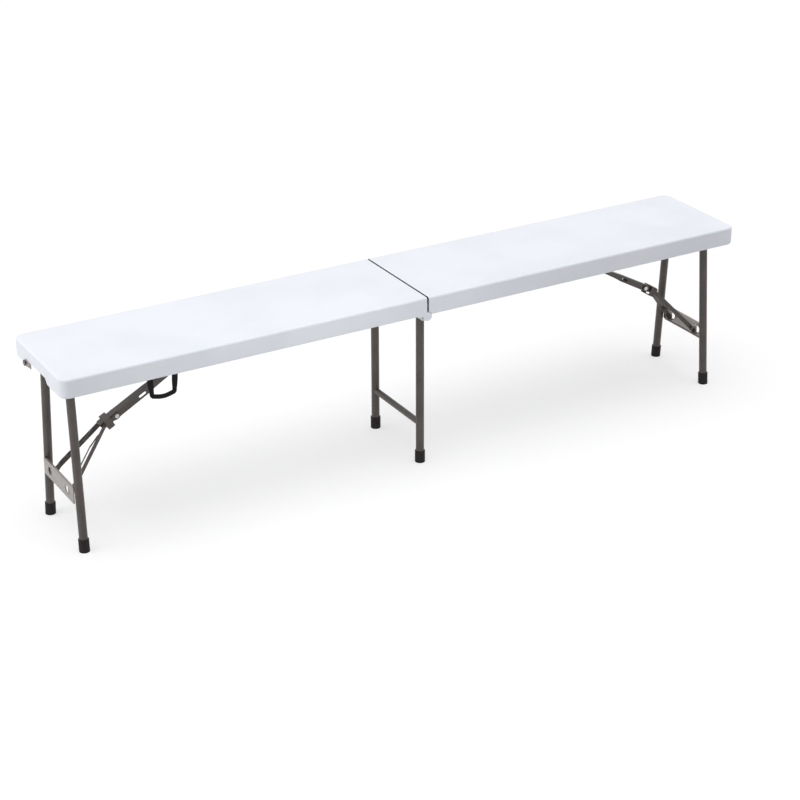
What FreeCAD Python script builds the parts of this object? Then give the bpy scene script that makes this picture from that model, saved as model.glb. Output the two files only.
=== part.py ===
import FreeCAD, Part
import math
import os
import re
import Sketcher

# Folding bench: two blow-moulded seat halves that fold underside to underside, a splayed
# tube frame at each end with a locking brace, and a straight frame under the centre hinge.
# X runs along the seat, Y across it, Z up; the floor is at zero under the middle of the seat.
# Distances called near and far are counted from the middle, so both halves share them.

Vec = FreeCAD.Vector
doc = FreeCAD.newDocument("FoldingBench")
sheet = doc.addObject("Spreadsheet::Sheet", "Dims")

DRIVING = [
    # seat halves
    ("seat_length", 1838),
    ("seat_width", 292),
    ("seat_top", 448),
    ("skirt_height", 46),
    ("seat_gap", 4.5),
    ("corner_radius", 22),
    ("edge_round", 5),
    ("lip_round", 5),
    ("skirt_wall", 6),
    ("panel_depth", 18),
    ("skin_wall", 3),
    ("void_inner", 46),
    ("void_margin", 20),
    ("pocket_depth", 12),
    ("pocket_width", 54),
    ("pocket_margin", 20),
    ("notch_width", 124),
    ("notch_height", 16),
    ("notch_slope", 16),
    ("kissoff_row", 82),
    ("kissoff_pitch", 98),
    ("kissoff_start", 62),
    ("kissoff_mouth", 13),
    ("kissoff_tip", 6),
    ("kissoff_depth", 13),
    ("hinge_wall_lift", 10),
    # centre hinge
    ("hinge_drop", 3),
    ("rod_diameter", 12),
    ("rod_cover", 2.8),
    ("knuckle_radius", 11),
    ("knuckle_clearance", 1.5),
    ("hinge_plate", 2.5),
    ("hinge_plate_reach", 84),
    # rails and screws
    ("rail_width", 12),
    ("rail_height", 18),
    ("rail_wall", 1.5),
    ("rail_side_gap", 2.6),
    ("rail_near", 28),
    ("rail_end_gap", 16),
    ("screw_diameter", 4),
    ("screw_head", 9),
    ("screw_head_height", 1.6),
    ("screw_bite", 7),
    ("rail_screw_end", 80),
    ("rail_screw_gaps", 3),
    # end frames
    ("axle_inset", 44),
    ("axle_drop", 32),
    ("axle_diameter", 22),
    ("tube_wall", 1.5),
    ("stub_length", 20),
    ("bracket_width", 34),
    ("bracket_drop", 2),
    ("leg_diameter", 20.3),
    ("leg_top_spread", 73),
    ("leg_foot_spread", 104),
    ("leg_lean", 6),
    ("foot_diameter", 25),
    ("foot_height", 30),
    ("foot_sole", 6),
    ("sheet_thickness", 2),
    ("cross_plate_drop", 19),
    ("cross_plate_height", 42),
    ("cross_plate_half", 90),
    ("cross_plate_corner", 4),
    ("cross_plate_lip", 3),
    ("slot_length", 23),
    ("slot_height", 19.5),
    # brace
    ("brace_reach", 282),
    ("brace_foot_half", 51),
    ("lug_width", 18),
    ("lug_flare", 4),
    ("pivot_diameter", 8),
    ("knee_inset", 130.5),
    ("knee_drop", 148.61),
    ("link_inset", 402.5),
    ("strut_width", 20),
    ("strut_wall", 2),
    ("strut_tail", 44),
    ("strut_reach", 150),
    ("strut_knee_top", 9),
    ("strut_knee_low", 8),
    ("strut_mid", 89),
    ("strut_mid_top", 8.5),
    ("strut_mid_low", 7.5),
    ("strut_neck", 106),
    ("strut_neck_top", 7.5),
    ("strut_neck_low", 5.5),
    ("strut_end_top", 6),
    ("strut_end_low", 4),
    ("strut_slot_near", 66),
    ("strut_slot_far", 86),
    ("strut_slot_height", 7),
    ("arm_sheet", 2),
    ("arm_height", 11),
    ("arm_head", 34),
    ("arm_head_radius", 8),
    ("arm_gap", 0.4),
    ("arm_flange", 13),
    ("flange_near", 60),
    ("flange_far", 158),
    ("window_rim", 2.6),
    ("window_near", 76),
    ("window_far", 150),
    ("rivet_head", 10),
    ("rivet_head_height", 1.5),
    ("ring_length", 17),
    ("ring_centre", 24),
    ("ring_wall", 1.8),
    ("ring_side_room", 1.1),
    ("ring_top_room", 0.5),
    ("ring_low_room", 4),
    ("link_near", 130),
    ("link_half_height", 5),
    ("link_eye", 8),
    ("link_side_room", 1),
    ("link_bracket_half", 46),
    ("link_bracket_length", 40),
    # middle frame
    ("mid_leg_inset", 13.9),
    ("mid_leg_splay", 1),
    ("sleeve_diameter", 22),
    ("sleeve_end_gap", 0.5),
    ("crossbar_z", 104),
    ("crossbar_diameter", 16),
    # handle
    ("handle_x", 681),
    ("handle_span", 62),
    ("handle_strap", 14),
    ("handle_thickness", 2.4),
    ("handle_drop", 42),
    ("handle_grip", 11),
    ("handle_tab", 11),
    ("handle_screw_head", 7),
    # latch
    ("latch_y", 67),
    ("latch_lift", 9),
    ("latch_hub", 7.5),
    ("latch_sheet", 2.5),
    ("latch_tip", 7),
    ("latch_arm_width", 11),
    ("stud_diameter", 7),
    ("stud_length", 4.5),
    # fits
    ("running_fit", 0.05),
    ("clear_fit", 0.3),
]
ALIASES = [alias for alias, _ in DRIVING]

for row, (alias, value) in enumerate(DRIVING, start=1):
    sheet.set("A%d" % row, alias)
    sheet.set("B%d" % row, str(value))
    sheet.setAlias("B%d" % row, alias)
doc.recompute()


def size(alias):
    """Value of one driving dimension."""
    return float(sheet.get(alias))


def bind(obj, **expressions):
    """Tie properties to expressions in aliases; a double underscore stands for a dot."""
    for prop, expression in expressions.items():
        text = re.sub(r"[a-z_]{2,}", lambda word: "Dims." * (word.group() in ALIASES) + word.group(), str(expression))
        obj.setExpression(prop.replace("__", "."), text)
    return obj


# Expressions that several pieces share
X_END = "(seat_length / 2)"
Y_SIDE = "(seat_width / 2)"
Y_INNER = "(seat_width / 2 - skirt_wall)"
Y_RAIL_OUT = "(seat_width / 2 - skirt_wall - rail_side_gap)"
Y_RAIL_IN = "(seat_width / 2 - skirt_wall - rail_side_gap - rail_width)"
Y_BRACKET = "(seat_width / 2 - skirt_wall - rail_side_gap - rail_width - hinge_plate)"
Z_SKIRT = "(seat_top - skirt_height)"
Z_PANEL = "(seat_top - panel_depth)"
Z_RAIL = "(seat_top - panel_depth - rail_height)"
Z_HINGE = "(seat_top - skirt_height - hinge_drop)"
X_AXLE = "(seat_length / 2 - axle_inset)"
Z_AXLE = "(seat_top - axle_drop)"
X_FOOT = "(seat_length / 2 - axle_inset + leg_lean * brace_reach / (seat_top - axle_drop))"
Z_FOOT = "(seat_top - axle_drop - brace_reach)"
X_LINK = "(seat_length / 2 - axle_inset - link_inset)"
Z_PLATE = "(seat_top - axle_drop - brace_reach - cross_plate_drop)"
Z_LATCH = "(seat_top - skirt_height + latch_lift)"
Z_TAB = "(seat_top - skirt_height - hinge_drop + handle_thickness / 2 + clear_fit)"
R_SCREW = "(screw_diameter / 2)"
R_SCREW_HOLE = "(screw_diameter / 2 + running_fit)"

# The same places as numbers, for outlines
HALF_LENGTH = size("seat_length") / 2
HALF_WIDTH = size("seat_width") / 2
INNER_SIDE = HALF_WIDTH - size("skirt_wall")
RAIL_OUT = INNER_SIDE - size("rail_side_gap")
RAIL_IN = RAIL_OUT - size("rail_width")
SKIRT_LOW = size("seat_top") - size("skirt_height")
PANEL_LOW = size("seat_top") - size("panel_depth")
RAIL_LOW = PANEL_LOW - size("rail_height")
HINGE_Z = SKIRT_LOW - size("hinge_drop")
AXLE_X = HALF_LENGTH - size("axle_inset")
PIVOT_Z = size("seat_top") - size("axle_drop")
FOOT_X = AXLE_X + size("leg_lean") * size("brace_reach") / PIVOT_Z
FOOT_Z = PIVOT_Z - size("brace_reach")
LINK_X = AXLE_X - size("link_inset")
PLATE_LOW = FOOT_Z - size("cross_plate_drop")
MID_TOP = RAIL_IN - size("hinge_plate") - size("mid_leg_inset")
MID_FOOT = MID_TOP + size("mid_leg_splay")
HANDLE_AT = [-size("handle_x") - size("handle_span") / 2, -size("handle_x") + size("handle_span") / 2]
TOOL_OVERRUN = 5


def word(side):
    """First word of the names on one half."""
    return "left" if side < 0 else "right"


def place(row):
    """Word for one long side."""
    return "front" if row < 0 else "rear"


def signed(side, expression):
    """Distance from the middle as a coordinate on one half."""
    return "-(%s)" % expression if side < 0 else "(%s)" % expression


def stretch(side, near, far):
    """Low coordinate and length between two distances from the middle."""
    low = "-(%s)" % far if side < 0 else "(%s)" % near
    return low, "(%s) - (%s)" % (far, near)


def box(name, x, y, z, length, width, height):
    """Box by its low corner and its sizes."""
    obj = doc.addObject("Part::Box", name)
    bind(obj, Length=length, Width=width, Height=height)
    return bind(obj, Placement__Base__x=x, Placement__Base__y=y, Placement__Base__z=z)


def rod(name, axis, x, y, z, length, radius):
    """Cylinder from a point along the named axis."""
    obj = doc.addObject("Part::Cylinder", name)
    turns = {"X": (Vec(0, 1, 0), 90), "Y": (Vec(1, 0, 0), -90), "Z": (Vec(0, 0, 1), 0)}
    obj.Placement = FreeCAD.Placement(Vec(), FreeCAD.Rotation(*turns[axis]))
    bind(obj, Radius=radius, Height=length)
    return bind(obj, Placement__Base__x=x, Placement__Base__y=y, Placement__Base__z=z)


def rod_x(name, y, z, low, high, radius):
    """Cylinder along X between two X values."""
    return rod(name, "X", low, y, z, "(%s) - (%s)" % (high, low), radius)


def rod_y(name, x, z, low, high, radius):
    """Cylinder along Y between two Y values."""
    return rod(name, "Y", x, low, z, "(%s) - (%s)" % (high, low), radius)


def rod_z(name, x, y, low, high, radius):
    """Cylinder along Z between two Z values."""
    return rod(name, "Z", x, y, low, "(%s) - (%s)" % (high, low), radius)


def rod_between(name, start, end, radius):
    """Cylinder between two points."""
    obj = doc.addObject("Part::Cylinder", name)
    obj.Height = (end - start).Length
    obj.Placement = FreeCAD.Placement(start, FreeCAD.Rotation(Vec(0, 0, 1), end - start))
    return bind(obj, Radius=radius)


def cut(name, base, *tools):
    """Base with every tool removed from it."""
    for number, tool in enumerate(tools, start=1):
        step = doc.addObject("Part::Cut", name if number == len(tools) else "%s_cut%d" % (name, number))
        step.Base = base
        step.Tool = tool
        base = step
    return base


def fuse(name, *shapes):
    """Union of the parts of one piece."""
    obj = doc.addObject("Part::MultiFuse", name)
    obj.Shapes = list(shapes)
    obj.Refine = True
    return obj


def common(name, base, tool):
    """Solid where two shapes meet."""
    obj = doc.addObject("Part::Common", name)
    obj.Base = base
    obj.Tool = tool
    return obj


def group(name, *shapes):
    """Separate solids of one kind in one node."""
    obj = doc.addObject("Part::Compound", name)
    obj.Links = list(shapes)
    return obj


def rounded(points, radii):
    """Closed outline through the points, each corner rounded by its own radius."""
    count = len(points)
    corners = []
    for i in range(count):
        here = Vec(*points[i], 0)
        back = (Vec(*points[i - 1], 0) - here).normalize()
        ahead = (Vec(*points[(i + 1) % count], 0) - here).normalize()
        half = back.getAngle(ahead) / 2
        reach = radii[i] / math.tan(half)
        apex = here + (back + ahead).normalize() * radii[i] * (1 / math.sin(half) - 1)
        corners.append((here + back * reach, apex, here + ahead * reach))
    edges = []
    for i in range(count):
        start, apex, end = corners[i]
        if radii[i]:
            edges.append(Part.Arc(start, apex, end))
        follow = corners[(i + 1) % count][0]
        if (follow - end).Length > 1e-6:
            edges.append(Part.LineSegment(end, follow))
    return edges


def join_ends(sketch, first, second):
    """Hold the common end of two neighbouring edges together."""
    for a in (1, 2):
        for b in (1, 2):
            if (sketch.getPoint(first, a) - sketch.getPoint(second, b)).Length < 1e-5:
                sketch.addConstraint(Sketcher.Constraint("Coincident", first, a, second, b))
                return


def padded(name, role, edges, length, holes=(), centred=True, **placed):
    """Outline on one origin plane, padded by a length, with round holes."""
    body = doc.addObject("PartDesign::Body", name)
    sketch = body.newObject("Sketcher::SketchObject", name + "_outline")
    plane = [feature for feature in body.Origin.OriginFeatures if feature.Role == role][0]
    sketch.AttachmentSupport = [(plane, "")]
    sketch.MapMode = "FlatFace"
    sketch.addGeometry(edges, False)
    for i in range(len(edges)):
        join_ends(sketch, i, (i + 1) % len(edges))
    for x, y, radius in holes:
        sketch.addGeometry(Part.Circle(Vec(x, y, 0), Vec(0, 0, 1), radius), False)
    pad = body.newObject("PartDesign::Pad", name + "_pad")
    pad.Profile = sketch
    pad.Midplane = centred
    bind(pad, Length=length)
    bind(body, **placed)
    return body


def seat_outline(side, inset, corner):
    """Plan outline of one half, drawn in by an inset, square at the hinge end."""
    near = side * (size("seat_gap") / 2 + inset)
    far = side * (HALF_LENGTH - inset)
    wide = HALF_WIDTH - inset
    points = [(near, -wide), (far, -wide), (far, wide), (near, wide)]
    return rounded(points, [0, corner, corner, 0])


def rim_edges(shape, height):
    """Names of a seat block's edges at one height, without the hinge end."""
    found = []
    inner = size("seat_gap") / 2 + 0.01
    for number, edge in enumerate(shape.Edges, start=1):
        level = all(abs(v.Z - height) < 0.01 for v in edge.Vertexes)
        if level and not all(abs(v.X) < inner for v in edge.Vertexes):
            found.append("Edge%d" % number)
    return found


def seat_block(side):
    """Outer block of one half with its rounded rim."""
    name = word(side) + "_seat_block"
    body = padded(name, "XY_Plane", seat_outline(side, 0, size("corner_radius")), "skirt_height",
                  centred=False, Placement__Base__z=Z_SKIRT)
    doc.recompute()
    top = body.newObject("PartDesign::Fillet", name + "_rim")
    top.Base = (body.Group[1], rim_edges(body.Group[1].Shape, size("skirt_height")))
    bind(top, Radius="edge_round")
    doc.recompute()
    low = body.newObject("PartDesign::Fillet", name + "_lip")
    low.Base = (top, rim_edges(top.Shape, 0))
    bind(low, Radius="lip_round")
    return body


def seat_recess(side):
    """Space under the panel: inside the skirt, over the hinge and above the brace."""
    name = word(side)
    inner = size("corner_radius") - size("skirt_wall")
    room = padded(name + "_recess", "XY_Plane", seat_outline(side, size("skirt_wall"), inner),
                  "skirt_height - panel_depth + %d" % TOOL_OVERRUN, centred=False,
                  Placement__Base__z=Z_SKIRT + " - %d" % TOOL_OVERRUN)
    x, length = stretch(side, "0", "seat_gap / 2 + skirt_wall + 1")
    door = box(name + "_hinge_door", x, "-" + Y_INNER, Z_SKIRT + " - %d" % TOOL_OVERRUN,
               length, "2 * " + Y_INNER, "hinge_wall_lift + %d" % TOOL_OVERRUN)
    gates = []
    for row in (-1, 1):
        y, width = stretch(row, Y_BRACKET + " - hinge_plate", Y_INNER)
        gates.append(box("%s_plate_gate_%s" % (name, place(row)), x, y, Z_SKIRT, length, width,
                         "skirt_height - panel_depth"))
    near = LINK_X + size("link_bracket_length") / 2 + size("pocket_margin")
    far = LINK_X + BRACE_LENGTH + size("strut_tail") + size("pocket_margin")
    x, length = stretch(side, "%.4f" % near, "%.4f" % far)
    pocket = box(name + "_brace_pocket", x, "-pocket_width / 2", Z_PANEL + " - %d" % TOOL_OVERRUN,
                 length, "pocket_width", "pocket_depth + %d" % TOOL_OVERRUN)
    return [room, door, pocket] + gates


def end_notch(side):
    """Wide shallow notch in the lower edge of the end skirt."""
    low = size("notch_width") / 2
    top = low - size("notch_slope")
    rise = SKIRT_LOW + size("notch_height")
    grow = size("notch_slope") / size("notch_height")
    outline = [(-low - grow, SKIRT_LOW - 1), (low + grow, SKIRT_LOW - 1), (top, rise), (-top, rise)]
    corner = size("notch_height") / 4
    return padded(word(side) + "_end_notch", "YZ_Plane", rounded(outline, [0, 0, corner, corner]),
                  "4 * skirt_wall", Placement__Base__x=signed(side, X_END))


def kissoff_places(side, row):
    """Centres of one row of moulded kiss-off cones."""
    places = []
    x = size("kissoff_start")
    while x <= HALF_LENGTH - size("kissoff_start"):
        places.append((side * x, row * size("kissoff_row")))
        x += size("kissoff_pitch")
    return places


def cones(name, places, mouth, tip, height):
    """Row of upright cones from the panel's underside."""
    made = []
    for number, (x, y) in enumerate(places):
        cone = doc.addObject("Part::Cone", "%s_%d" % (name, number))
        bind(cone, Radius1=mouth, Radius2=tip, Height=height)
        made.append(bind(cone, Placement__Base__x=x, Placement__Base__y=y, Placement__Base__z=Z_PANEL))
    return fuse(name, *made)


def seat_void(side, row):
    """Hollow between the two skins on one side of the brace pocket, less the kiss-off walls."""
    name = "%s_%s" % (word(side), place(row))
    x, length = stretch(side, "void_margin", X_END + " - void_margin")
    y, width = stretch(row, "void_inner", Y_SIDE + " - void_margin")
    hollow = box(name + "_hollow", x, y, Z_PANEL + " + skin_wall", length, width, "panel_depth - 2 * skin_wall")
    cores = cones(name + "_core", kissoff_places(side, row), "kissoff_mouth + skin_wall",
                  "kissoff_tip + skin_wall", "panel_depth")
    return cut(name + "_void", hollow, cores)


def rail_screw_places(side, row):
    """Centres of the screws through one rail."""
    first = size("rail_near") + size("rail_screw_end")
    last = HALF_LENGTH - size("skirt_wall") - size("rail_end_gap") - size("rail_screw_end")
    gaps = int(size("rail_screw_gaps"))
    y = row * (RAIL_IN + RAIL_OUT) / 2
    return [(side * (first + (last - first) * i / gaps), y) for i in range(gaps + 1)]


def bracket_screw_places(side):
    """Centres of the four screws of the brace link's bracket."""
    y = size("link_bracket_half") - size("screw_head")
    shift = size("link_bracket_length") / 2 - size("screw_head")
    x = LINK_X
    return [(side * (x + dx), row * y) for dx in (-shift, shift) for row in (-1, 1)]


def screws(name, places, head_z):
    """Screws driven up into the panel, their heads below the given height."""
    made = []
    for number, (x, y) in enumerate(places):
        head = rod_z("%s_head%d" % (name, number), x, y, head_z + " - screw_head_height", head_z, "screw_head / 2")
        shank = rod_z("%s_shank%d" % (name, number), x, y, head_z, Z_PANEL + " + screw_bite", R_SCREW)
        made.append(fuse("%s_%d" % (name, number), head, shank))
    return group(name, *made)


def screw_holes(name, places, low, high):
    """Clearance holes for a set of upright screws."""
    return fuse(name, *[rod_z("%s_%d" % (name, i), x, y, low, high, R_SCREW_HOLE) for i, (x, y) in enumerate(places)])


def stud_hole(side):
    """Hole through the end skirt for the latch's pin or stud."""
    low, length = stretch(side, X_END + " - 2 * skirt_wall", X_END + " + 2 * skirt_wall")
    return rod(word(side) + "_stud_hole", "X", low, "latch_y", Z_LATCH, length, "stud_diameter / 2 + running_fit")


def knuckle(row):
    """Moulded ear of the left half, around the end of the hinge rod."""
    radius = size("knuckle_radius")
    low, length = stretch(row, Y_INNER, Y_SIDE)
    name = "left_knuckle_" + place(row)
    disc = rod(name + "_disc", "Y", "0", low, Z_HINGE, length, "knuckle_radius")
    back = -2.4 * radius
    top = SKIRT_LOW + 1.4 * radius
    outline = [(back, top), (back, SKIRT_LOW), (-1.2 * radius, SKIRT_LOW - size("hinge_drop") / 2),
               (-0.9 * radius, HINGE_Z), (0, HINGE_Z), (-size("seat_gap") / 2, top)]
    root = padded(name + "_root", "XZ_Plane", rounded(outline, [0] * 6), "skirt_wall",
                  Placement__Base__y="%d * (%s - skirt_wall / 2)" % (row, Y_SIDE))
    return [disc, root]


def seat_panel(side):
    """One blow-moulded seat half."""
    name = word(side) + "_seat_panel"
    tools = seat_recess(side) + [end_notch(side), stud_hole(side)]
    high = Z_PANEL + " + screw_bite + 1"
    low = Z_PANEL + " - 1"
    for row in (-1, 1):
        tools.append(cones("%s_%s_dent" % (word(side), place(row)), kissoff_places(side, row),
                           "kissoff_mouth", "kissoff_tip", "kissoff_depth"))
        tools.append(seat_void(side, row))
        tools.append(screw_holes("%s_%s_rail_bores" % (word(side), place(row)), rail_screw_places(side, row), low, high))
    tools.append(screw_holes(word(side) + "_bracket_bores", bracket_screw_places(side), low, high))
    if side > 0:
        tools.append(rod_y("right_knuckle_room", "0", Z_HINGE, "-seat_width", "seat_width",
                           "knuckle_radius + knuckle_clearance"))
        return cut(name, seat_block(side), *tools)
    for number, x in enumerate(HANDLE_AT):
        tools.append(rod_y("handle_bore%d" % number, x, Z_TAB + " + handle_tab / 2",
                           "-" + Y_SIDE + " + skirt_wall / 2", "-" + Y_INNER + " + 1", R_SCREW_HOLE))
    shell = cut("left_seat_shell", seat_block(side), *tools)
    eared = fuse("left_seat_eared", shell, *(knuckle(-1) + knuckle(1)))
    end = "(%s - rod_cover)" % Y_SIDE
    return cut(name, eared, rod_y("left_rod_bore", "0", Z_HINGE, "-" + end, end, "rod_diameter / 2 + running_fit"))


def rail(side, row):
    """Square steel tube under one long side."""
    name = "%s_%s_rail" % (word(side), place(row))
    x, length = stretch(side, "rail_near", X_END + " - skirt_wall - rail_end_gap")
    y, width = stretch(row, Y_RAIL_IN, Y_RAIL_OUT)
    tube = box(name + "_tube", x, y, Z_RAIL, length, width, "rail_height")
    bore = box(name + "_bore", x + " - 1", y + " + rail_wall", Z_RAIL + " + rail_wall",
               length + " + 2", "rail_width - 2 * rail_wall", "rail_height - 2 * rail_wall")
    holes = screw_holes(name + "_holes", rail_screw_places(side, row), Z_RAIL + " - 1", Z_PANEL + " + 1")
    return cut(name, tube, bore, holes)


def hinge_plates(side):
    """Two cranked plates on the rail ends, with eyes on the hinge rod."""
    radius = size("knuckle_radius")
    near = size("rail_near")
    reach = size("hinge_plate_reach")
    outline = [(side * reach, PANEL_LOW), (side * near, PANEL_LOW), (-side * radius, HINGE_Z + radius),
               (-side * radius, HINGE_Z - radius), (side * radius, HINGE_Z - radius),
               (side * (near + radius), RAIL_LOW), (side * reach, RAIL_LOW)]
    eye = 0.9 * radius
    soft = size("hinge_plate")
    edges = rounded(outline, [soft, soft, eye, eye, eye, 2 * soft, soft])
    hole = (0, HINGE_Z, size("rod_diameter") / 2 + size("running_fit"))
    middle = Y_RAIL_OUT + " + hinge_plate / 2" if side < 0 else Y_RAIL_IN + " - hinge_plate / 2"
    made = [
        padded("%s_%s_hinge_plate" % (word(side), place(row)), "XZ_Plane", edges, "hinge_plate", [hole],
               Placement__Base__y=signed(row, middle))
        for row in (-1, 1)
    ]
    return group(word(side) + "_hinge_plates", *made)


def axle_brackets(side):
    """Plates inside the rails, each with a stub that the leg axle turns on."""
    half = size("bracket_width") / 2
    low = PIVOT_Z - size("axle_diameter") / 2 - size("bracket_drop")
    middle = side * AXLE_X
    outline = [(middle - half, PANEL_LOW), (middle - half, low), (middle + half, low), (middle + half, PANEL_LOW)]
    made = []
    for row in (-1, 1):
        name = "%s_%s_bracket" % (word(side), place(row))
        flat = padded(name + "_plate", "XZ_Plane", rounded(outline, [0, half / 2, half / 2, 0]), "hinge_plate",
                      Placement__Base__y=signed(row, Y_RAIL_IN + " - hinge_plate / 2"))
        y, length = stretch(row, Y_BRACKET + " - stub_length", Y_BRACKET)
        stub = rod(name + "_stub", "Y", signed(side, X_AXLE), y, Z_AXLE, length,
                   "axle_diameter / 2 - tube_wall - running_fit")
        made.append(fuse(name, flat, stub))
    return group(word(side) + "_axle_brackets", *made)


def link_bracket(side):
    """Folded bracket under the panel with two ears for the brace link's pin."""
    name = word(side) + "_link_bracket"
    base = box(name + "_base", signed(side, X_LINK) + " - link_bracket_length / 2", "-link_bracket_half",
               Z_PANEL + " - sheet_thickness", "link_bracket_length", "2 * link_bracket_half", "sheet_thickness")
    holes = screw_holes(name + "_holes", bracket_screw_places(side), Z_RAIL, Z_PANEL + " + 1")
    flat = cut(name + "_flat", base, holes)
    x = side * LINK_X
    top = PANEL_LOW - size("sheet_thickness") / 2
    narrow = size("link_eye")
    wide = 2 * narrow
    outline = [(x - wide, top), (x - narrow, PIVOT_Z - narrow), (x + narrow, PIVOT_Z - narrow), (x + wide, top)]
    pin = (x, PIVOT_Z, size("pivot_diameter") / 2 + size("running_fit"))
    ears = [
        padded("%s_ear_%s" % (name, place(row)), "XZ_Plane", rounded(outline, [0, 0.9 * narrow, 0.9 * narrow, 0]),
               "sheet_thickness", [pin], Placement__Base__y=signed(row, "strut_width / 2 - sheet_thickness / 2"))
        for row in (-1, 1)
    ]
    return fuse(name, flat, *ears)


def pin_across(name, x, z, half, head):
    """Pin along Y with a flat head outside each end."""
    shank = rod_y(name + "_shank", x, z, "-(%s)" % half, half, "pivot_diameter / 2")
    heads = [
        rod_y(name + "_front_head", x, z, "-(%s) - rivet_head_height" % half, "-(%s)" % half, head),
        rod_y(name + "_rear_head", x, z, half, "%s + rivet_head_height" % half, head),
    ]
    return fuse(name, shank, *heads)


def axle_tube(side):
    """Cross tube of an end frame, turning on the bracket stubs, and the solid that copes its legs."""
    name = word(side) + "_axle_tube"
    x = signed(side, X_AXLE)
    half = "(%s - clear_fit)" % Y_BRACKET
    solid = rod_y(name + "_solid", x, Z_AXLE, "-" + half, half, "axle_diameter / 2")
    bore = rod_y(name + "_bore", x, Z_AXLE, "-%s - 1" % half, half + " + 1", "axle_diameter / 2 - tube_wall")
    return cut(name, solid, bore), solid


def leg_line(side, row):
    """Top and foot points of one splayed end leg."""
    top = Vec(side * AXLE_X, row * size("leg_top_spread"), PIVOT_Z)
    foot = Vec(side * (AXLE_X + size("leg_lean")), row * size("leg_foot_spread"), 0)
    return top, foot


def mid_leg_line(row):
    """Top and foot points of one leg of the middle frame."""
    return Vec(0, row * MID_TOP, HINGE_Z), Vec(0, row * MID_FOOT, 0)


def leg_tube(name, top, foot, cope):
    """Round tube from its cross tube down into the foot, and its solid outer shape."""
    along = (foot - top).normalize()
    end = foot - along * size("foot_sole")
    solid = rod_between(name + "_solid", top, end, "leg_diameter / 2")
    bore = rod_between(name + "_bore", top, end + along * TOOL_OVERRUN, "leg_diameter / 2 - tube_wall")
    return cut(name, solid, bore, cope), solid


def rubber_foot(name, top, foot):
    """Rubber cap on the lower end of a leg, cut level at the floor."""
    along = (foot - top).normalize()
    start = foot - along * size("foot_height")
    wide = size("foot_diameter")
    cap = rod_between(name + "_cap", start, foot + along * wide / 2, "foot_diameter / 2")
    socket = rod_between(name + "_socket", start - along * TOOL_OVERRUN, foot - along * size("foot_sole"),
                         "leg_diameter / 2 + running_fit")
    floor = box(name + "_floor", foot.x - wide, foot.y - wide, -wide, 2 * wide, 2 * wide, wide)
    return cut(name, cap, socket, floor)


def plate_back():
    """Distance from the middle to the inner face of an end frame's cross plate."""
    lean = size("leg_lean") * (1 - PLATE_LOW / PIVOT_Z)
    return AXLE_X + lean + size("leg_diameter") / 2


def cross_plate(side):
    """Pressed plate across the outside of an end frame, with two lips and two slots."""
    name = word(side) + "_cross_plate"
    half = size("cross_plate_half")
    low = PLATE_LOW
    high = low + size("cross_plate_height")
    corner = size("cross_plate_corner")
    face = padded(name + "_face", "YZ_Plane",
                  rounded([(-half, low), (half, low), (half, high), (-half, high)], [corner] * 4),
                  "sheet_thickness", Placement__Base__x=signed(side, "%.4f + sheet_thickness / 2" % plate_back()))
    long = size("slot_length") / 2
    tall = size("slot_height") / 2
    middle = (low + high) / 2
    slots = []
    for row in (-1, 1):
        y = row * (size("brace_foot_half") + size("sheet_thickness"))
        outline = [(y - long, middle - tall), (y + long, middle - tall), (y + long, middle + tall), (y - long, middle + tall)]
        slots.append(padded("%s_slot_%s" % (name, place(row)), "YZ_Plane", rounded(outline, [0.95 * tall] * 4),
                            "6 * sheet_thickness", Placement__Base__x=side * plate_back()))
    pressed = cut(name + "_pressed", face, *slots)
    splay = (size("leg_foot_spread") - size("leg_top_spread")) / PIVOT_Z
    clear = size("leg_foot_spread") - splay * high - size("leg_diameter") / 2 - size("sheet_thickness")
    x, length = stretch(side, "%.4f - cross_plate_lip" % plate_back(), "%.4f" % plate_back())
    lips = [
        box("%s_lip%d" % (name, number), x, -clear, z, length, 2 * clear, "sheet_thickness")
        for number, z in enumerate((Z_PLATE, Z_PLATE + " + cross_plate_height - sheet_thickness"))
    ]
    return fuse(name, pressed, *lips)


def brace_lugs(side):
    """Two lugs welded behind the cross plate, one beside each arm's foot."""
    x = side * FOOT_X
    z = FOOT_Z
    half = size("lug_width") / 2
    root = half + size("lug_flare")
    outline = [(side * plate_back(), z - root), (side * plate_back(), z + root),
               (x - side * half, z + half), (x - side * half, z - half)]
    hole = (x, z, size("pivot_diameter") / 2 + size("running_fit"))
    made = [
        padded("%s_%s_lug" % (word(side), place(row)), "XZ_Plane", rounded(outline, [0, 0, 0.9 * half, 0.9 * half]),
               "sheet_thickness", [hole],
               Placement__Base__y=signed(row, "brace_foot_half + arm_sheet / 2 + clear_fit + sheet_thickness / 2"))
        for row in (-1, 1)
    ]
    return group(word(side) + "_brace_lugs", *made)


def foot_rivets(side):
    """Short rivets that the arms' feet turn on."""
    made = []
    for row in (-1, 1):
        name = "%s_%s_foot_rivet" % (word(side), place(row))
        inner = "brace_foot_half - arm_sheet / 2 - clear_fit"
        outer = "brace_foot_half + arm_sheet / 2 + clear_fit + sheet_thickness"
        parts = []
        for part, near, far, radius in (
            ("shank", inner, outer, "pivot_diameter / 2"),
            ("inner_head", inner + " - rivet_head_height", inner, "pivot_diameter / 2 + sheet_thickness"),
            ("outer_head", outer, outer + " + rivet_head_height", "pivot_diameter / 2 + sheet_thickness"),
        ):
            y, length = stretch(row, near, far)
            parts.append(rod("%s_%s" % (name, part), "Y", signed(side, X_FOOT), y, Z_FOOT, length, radius))
        made.append(fuse(name, *parts))
    return group(word(side) + "_foot_rivets", *made)


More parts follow.
